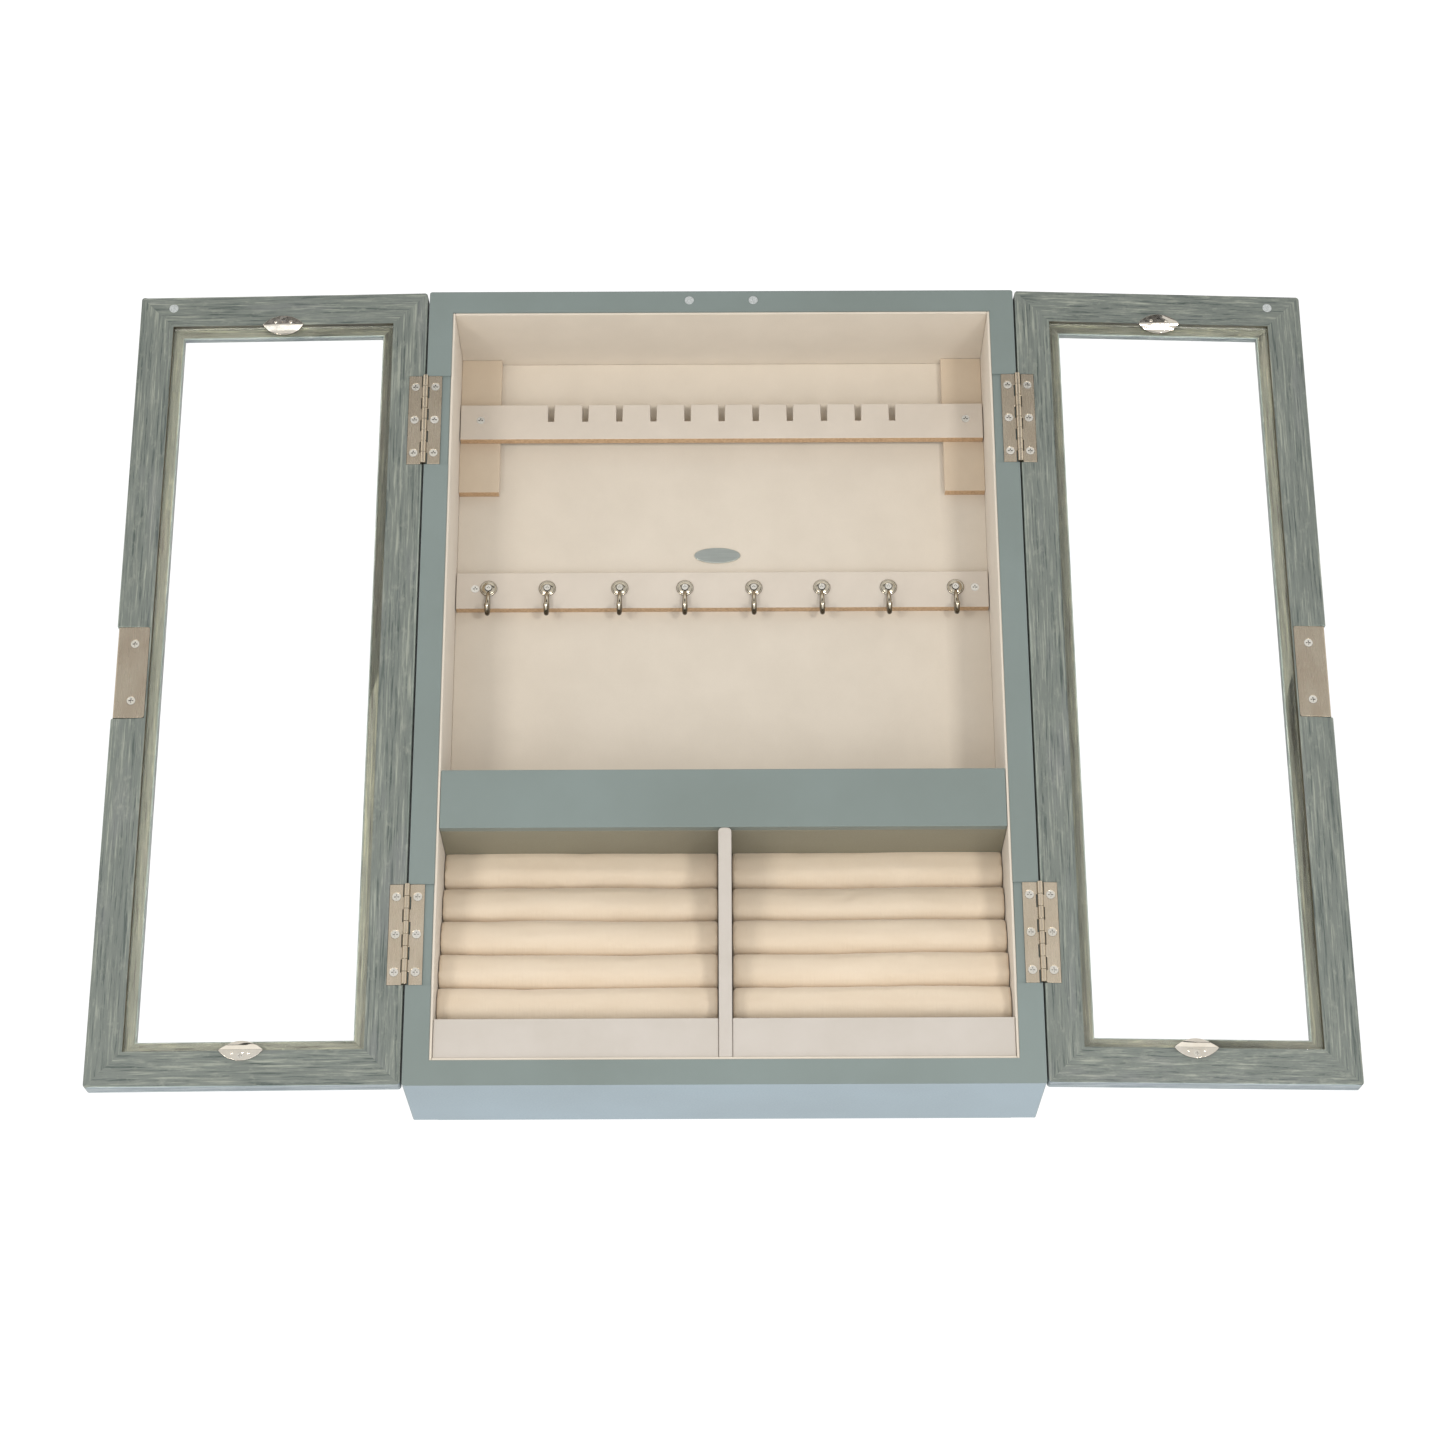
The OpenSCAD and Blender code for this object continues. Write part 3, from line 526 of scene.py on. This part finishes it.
# ---- Doors ----
def door_members():
    """Four mitred members to a door, the grain of each running along it."""
    for side in SIDES:
        lo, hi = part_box(f"{side}_door_glass")

        def within(at, margin):
            """True inside the glass's outline grown by margin."""
            across = lo.x - margin < at.x < hi.x + margin
            return across and lo.z - margin < at.z < hi.z + margin

        def coat(polygon):
            at = polygon.calc_center_median()
            if not within(at, MM) or polygon.normal.y > 0.5:
                return FACE
            if polygon.normal.y < -0.5:
                return LEDGE
            # The rebate's walls take REBATE, dark brown partly as bare wood and partly as painted
            # shade
            return FACE if within(at, -MM) else REBATE

        def stays_sharp(edge):
            return in_mitre(edge) or any(coat(polygon) == REBATE for polygon in edge.link_faces)

        for member, grain in (
            ("hinge_stile", "Z"), ("meeting_stile", "Z"), ("top_rail", "X"), ("bottom_rail", "X"),
        ):
            rounded_copy(
                f"{side}_{member}_painted", f"{side}_door_{member}", f"{side}_door",
                DOOR_COATS[grain], DOOR_ARRIS, stays_sharp, coat=coat,
            )


def in_mitre(edge):
    """True for an edge of a mitre, where two members meet."""
    return any(
        abs(abs(f.normal.z) - math.sqrt(0.5)) < 0.01 and f.calc_area() > MITRE_AREA
        for f in edge.link_faces
    )


# ---- Ring rolls ----
def swell(value):
    """Pushes a cosine or sine outwards, so that a round section turns fuller."""
    return math.copysign(abs(value) ** (2 / ROLL_SQUARENESS), value)


def join(bm, rings):
    """Closes rings of vertices into a tube with two ends."""
    for a, b in zip(rings, rings[1:]):
        for k in range(len(a)):
            bm.faces.new((a[k], a[k - 1], b[k - 1], b[k]))
    bm.faces.new(rings[0])
    bm.faces.new(rings[-1][::-1])


def roll_shape(lo, hi, down, index, seed, crown):
    """A foam roll in a cloth sleeve before it is filled: a tube of full section that sags and
    leans a little, with rounded ends. down points to the next roll, and crown is how much
    further it swells the other way."""
    centre = (lo + hi) / 2
    radius = (hi.z - lo.z) / 2 - ROLL_START
    length = hi.x - lo.x - 2 * ROLL_CLEAR
    out = Vector((0, down.z, -down.y))
    bm = bmesh.new()
    rings = []
    for i in range(ROLL_STATIONS + 1):
        x = (0.5 - 0.5 * math.cos(math.pi * i / ROLL_STATIONS) - 0.5) * length
        end = max(0.0, ROLL_SHOULDER - (length / 2 - abs(x)))
        r = radius - ROLL_SHOULDER + math.sqrt(max(0.0, ROLL_SHOULDER**2 - end**2))
        sag = ROLL_SAG * noise.noise(Vector((x * SAG_WAVES, index * 0.3, seed)))
        lean = ROLL_LEAN * noise.noise(Vector((x * LEAN_WAVES, index * 1.7, seed + 5.1)))
        ring = []
        for k in range(ROLL_SIDES):
            angle = 2 * math.pi * k / ROLL_SIDES
            cos, sin = math.cos(angle), math.sin(angle)
            dent = noise.noise(Vector((x * DENT_WAVES, cos * 2 + index, sin * 2 + seed)))
            reach = r * (1 + ROLL_DENT * min(0.0, dent))
            forward = lean + reach * swell(cos)
            along = sag + (reach + (crown if sin < 0 else 0)) * swell(sin)
            across = out * forward + down * along
            ring.append(bm.verts.new(centre + Vector((x, 0, 0)) + across))
        rings.append(ring)
    join(bm, rings)
    bmesh.ops.recalc_face_normals(bm, faces=bm.faces[:])
    return bm


def apply_modifiers(obj):
    """Replaces obj's mesh by what its modifiers make of it."""
    graph = bpy.context.evaluated_depsgraph_get()
    mesh = bpy.data.meshes.new_from_object(obj.evaluated_get(graph))
    obj.modifiers.clear()
    obj.data = mesh


def inflate(obj, lo, hi, down, crown):
    """Fills a roll: remeshed, blown up as cloth, and held to its own length and thickness,
    with crown more on the side away from the next roll."""
    remesh = obj.modifiers.new("remesh", "REMESH")
    remesh.mode = "VOXEL"
    remesh.voxel_size = ROLL_VOXEL
    apply_modifiers(obj)
    start = [v.co.copy() for v in obj.data.vertices]
    cloth = obj.modifiers.new("cloth", "CLOTH")
    cloth.settings.quality = 5
    cloth.settings.mass = 0.3
    cloth.settings.tension_stiffness = 12
    cloth.settings.compression_stiffness = 12
    cloth.settings.bending_stiffness = 0.4
    cloth.settings.shrink_min = -ROLL_GROWTH
    cloth.settings.use_pressure = True
    cloth.settings.uniform_pressure_force = ROLL_PRESSURE
    cloth.settings.effector_weights.gravity = 0
    cloth.point_cache.frame_start = 1
    cloth.point_cache.frame_end = ROLL_FRAMES
    for step in range(1, ROLL_FRAMES + 1):
        bpy.context.scene.frame_set(step)
    apply_modifiers(obj)
    bpy.context.scene.frame_set(1)
    centre = (lo + hi) / 2
    out = Vector((0, down.z, -down.y))
    limit = (hi.z - lo.z) / 2 + ROLL_SAG / 4
    limit_x = (hi.x - lo.x) / 2 - ROLL_CLEAR
    for vertex, before in zip(obj.data.vertices, start):
        move = vertex.co - before
        if move.length > ROLL_CAP:
            move *= ROLL_CAP / move.length
        at = before + move - centre
        x = max(-limit_x, min(limit_x, at.x))
        forward = max(-limit, min(limit, at.dot(out)))
        along = max(-limit - crown, min(limit, at.dot(down)))
        vertex.co = centre + Vector((x, 0, 0)) + out * forward + down * along


def ring_rolls():
    for seed, side in enumerate(SIDES):
        first, last = (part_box(f"ring_roll_{side}_{i}") for i in (1, ROLL_COUNT))
        down = (last[0] - first[0]).normalized()
        for i in range(1, ROLL_COUNT + 1):
            node = f"ring_roll_{side}_{i}"
            lo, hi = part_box(node)
            crown = ROLL_CROWN if i == 1 else 0.0
            bm = roll_shape(lo, hi, down, i, seed * 7.3, crown)
            roll = new_piece(f"{side}_roll_{i}", bm, "cabinet", [VELOUR], [node])
            inflate(roll, lo, hi, down, crown)
            roll.data.shade_smooth()
            smooth = roll.modifiers.new("subdivision", "SUBSURF")
            smooth.levels = 1
            smooth.render_levels = 1


# ---- Hooks ----
# In a hook's own plane: distance out from the rail and height from the disc's middle, and the
# wire's radius there, all in millimetres.
WIRE = (
    (0.8, -2.6, 1.1), (1.7, -4.2, 1.2), (3.0, -6.4, 1.3), (3.8, -8.6, 1.4), (4.0, -11.0, 1.55),
    (4.0, -13.6, 1.7), (4.1, -16.0, 1.7), (4.6, -18.0, 1.6), (5.9, -19.3, 1.5),
    (7.9, -19.9, 1.45), (9.9, -19.4, 1.4), (11.3, -18.0, 1.4), (11.8, -16.9, 1.5),
    (12.0, -16.0, 1.65), (12.1, -15.1, 1.4), (12.1, -14.6, 0.7),
)
# The disc's section, from its edge at the rail to its middle: radius and height, in millimetres.
DISC = (
    (5.25, 0.0), (5.25, 0.45), (5.0, 0.8), (4.55, 0.9), (4.2, 0.75), (4.0, 0.72), (3.75, 0.85),
    (3.0, 1.15), (2.3, 1.3), (2.05, 1.25), (1.95, 0.9),
)
HOOK_SIDES = 20
DISC_SIDES = 48


def add_tube(bm, points, sides):
    """A round tube through (point, radius, direction) in a plane of constant X."""
    sideways = Vector((1, 0, 0))
    rings = []
    for point, radius, direction in points:
        normal = Vector((0, -direction.z, direction.y))
        ring = []
        for k in range(sides):
            angle = 2 * math.pi * k / sides
            spoke = math.cos(angle) * sideways + math.sin(angle) * normal
            ring.append(bm.verts.new(point + radius * spoke))
        rings.append(ring)
    join(bm, rings)


def add_disc(bm, centre, section, sides):
    """A turned disc that faces -Y. It is solid, and the screw passes through it."""
    rings = []
    for radius, height in section:
        ring = []
        for k in range(sides):
            angle = 2 * math.pi * k / sides
            spoke = Vector((radius * math.cos(angle), -height, radius * math.sin(angle)))
            ring.append(bm.verts.new(centre + MM * spoke))
        rings.append(ring)
    join(bm, rings)


def middles(node, gap):
    """The middles along X of a node's parts, which stand more than gap apart."""
    places = sorted(v.co.x for v in CAD[node].data.vertices)
    starts = [0] + [i for i in range(1, len(places)) if places[i] - places[i - 1] > gap]
    ends = starts[1:] + [len(places)]
    return [(places[a] + places[b - 1]) / 2 for a, b in zip(starts, ends)]


def hooks():
    screw_lo, screw_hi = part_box("hook_screws")
    rail_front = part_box("hook_rail")[0].y
    height = (screw_lo.z + screw_hi.z) / 2
    for side, sign in zip(SIDES, (-1, 1)):
        bm = bmesh.new()
        for x in middles("hook_screws", 5 * MM):
            if x * sign < 0:
                continue
            centre = Vector((x, rail_front, height))
            path = [centre + MM * Vector((0, -out, up)) for out, up, radius in WIRE]
            before = [path[0]] + path[:-1]
            after = path[1:] + [path[-1]]
            wire = [
                (point, radius * MM, (b - a).normalized())
                for point, (out, up, radius), a, b in zip(path, WIRE, before, after)
            ]
            add_tube(bm, wire, HOOK_SIDES)
            add_disc(bm, centre, DISC, DISC_SIDES)
        bmesh.ops.recalc_face_normals(bm, faces=bm.faces[:])
        piece = new_piece(
            f"{side}_hooks_cast", bm, "cabinet", [CAST], [f"hooks_{side}"]
        )
        smooth = piece.modifiers.new("subdivision", "SUBSURF")
        smooth.levels = 1
        smooth.render_levels = 1


# ---- Studio ----
def aim(obj, target):
    obj.rotation_euler = (Vector(target) - obj.location).to_track_quat("-Z", "Y").to_euler()


def softbox(name, place, target, width, height, power, colour):
    light = bpy.data.lights.new(name, "AREA")
    light.shape = "RECTANGLE"
    light.size = width
    light.size_y = height
    light.energy = power
    light.color = colour
    obj = bpy.data.objects.new(name, light)
    obj.location = place
    aim(obj, target)
    obj.visible_camera = False
    obj.visible_transmission = False
    bpy.context.scene.collection.objects.link(obj)


def card(name, place, width, height, grey, mirrored):
    """A card that faces the object, seen only in reflections or only as soft light."""
    right, top = width / 2, height / 2
    corners = [(-right, 0, -top), (-right, 0, top), (right, 0, top), (right, 0, -top)]
    mesh = bpy.data.meshes.new(name)
    mesh.from_pydata(corners, [], [(0, 1, 2, 3)])
    obj = bpy.data.objects.new(name, mesh)
    obj.location = place
    bpy.context.scene.collection.objects.link(obj)
    paint_with(obj, matt(name, grey))
    obj.visible_camera = False
    obj.visible_transmission = False
    obj.visible_glossy = mirrored
    obj.visible_diffuse = not mirrored
    obj.visible_shadow = not mirrored


def studio():
    world = bpy.data.worlds.new("studio")
    world.use_nodes = True
    sky = world.node_tree.nodes["Background"].inputs
    sky["Color"].default_value = (1, 1, 1, 1)
    sky["Strength"].default_value = WORLD_STRENGTH
    bpy.context.scene.world = world

    mesh = bpy.data.meshes.new("floor")
    half = FLOOR_SIZE / 2
    outline = [(-half, -half), (half, -half), (half, half), (-half, half)]
    mesh.from_pydata([(x, y, FLOOR_Z) for x, y in outline], [], [(0, 1, 2, 3)])
    floor = bpy.data.objects.new("floor", mesh)
    bpy.context.scene.collection.objects.link(floor)
    paint_with(floor, matt("studio_floor", FLOOR_GREY))

    # Where each lamp is, what it aims at, its width and height, watts and colour
    softbox("key_left", (-1.0, -1.75, -0.2), STUDIO_AIM, 0.45, 0.45, 10, (1.0, 0.97, 0.93))
    softbox("key_right", (0.8, -1.8, -0.2), STUDIO_AIM, 0.28, 0.28, 10, (1.0, 0.98, 0.95))
    softbox("low_fill", (0, 0.4, -0.8), (0, 0, 0), 1.6, 0.6, 13, (0.62, 0.71, 1.0))
    softbox("front_fill", (0, -1.6, -0.7), STUDIO_AIM, 1.2, 0.9, 7, (0.84, 0.92, 1.0))
    # Where each card is, its width and height, its grey, and whether only reflections show it
    card("dim_wall", (0, -3.2, 1.1), 8.0, 4.4, 0.3, False)
    card("pale_wall", (0, -3.1, 0.53), 8.0, 3.3, 0.75, True)
    card("dark_wall", (0, -3.1, 2.9), 5.0, 1.44, 0.03, True)


def camera():
    data = bpy.data.cameras.new("camera")
    data.lens = CAMERA_LENS
    data.sensor_width = SENSOR
    obj = bpy.data.objects.new("camera", data)
    bpy.context.scene.collection.objects.link(obj)
    turn = Matrix.Rotation(math.radians(-CAMERA_TURN), 4, "Z")
    tilt = Matrix.Rotation(math.radians(90 + CAMERA_TILT), 4, "X")
    roll = Matrix.Rotation(math.radians(CAMERA_ROLL), 4, "Z")
    obj.matrix_world = Matrix.Translation(CAMERA_PLACE) @ turn @ tilt @ roll
    bpy.context.scene.camera = obj


# ---- The object ----
cabinet_boards()
rails()
door_members()
ring_rolls()
hooks()

keep(["back_panel"], HARDBOARD)
keep(["lining_left", "lining_right", "lining_top"], LINING, LINING_ARRIS)
keep(["lining_bottom", "lining_back"], LINING, LINING_ARRIS)
keep(["divider", "toe_board_left", "toe_board_right"], TOE_LINING, RAIL_ARRIS)
keep(["ring_support_left", "ring_support_right"], LINING)
keep(["shelf_front"], PAINT, BOARD_ARRIS)
# The shelf's floor takes the warmer copy of the paint as painted bounce light
keep(["shelf_floor"], SHELF_BOUNCE_PAINT, BOARD_ARRIS)
keep(["plaque"], PLAQUE, PLAQUE_ARRIS)
keep(["hook_screws", "cabinet_screws"], SCREW)
keep(["magnets_cabinet"], MAGNET, METAL_ARRIS)
keep(["hinge_leaves_cabinet", "hanger_plates"], NICKEL, METAL_ARRIS)
keep(["hinge_pins"], NICKEL)
for side in SIDES:
    keep([f"{side}_door_glass"], GLASS, METAL_ARRIS)
    keep([f"{side}_door_screws"], SCREW)
    keep([f"{side}_door_clips"], STAMPED, METAL_ARRIS)
    keep([f"{side}_door_magnet"], MAGNET, METAL_ARRIS)
    keep([f"{side}_door_pull"], PULL, METAL_ARRIS)
    keep([f"{side}_door_hinge_leaves"], NICKEL, METAL_ARRIS)

bpy.context.scene.view_settings.view_transform = "Standard"
studio()
camera()
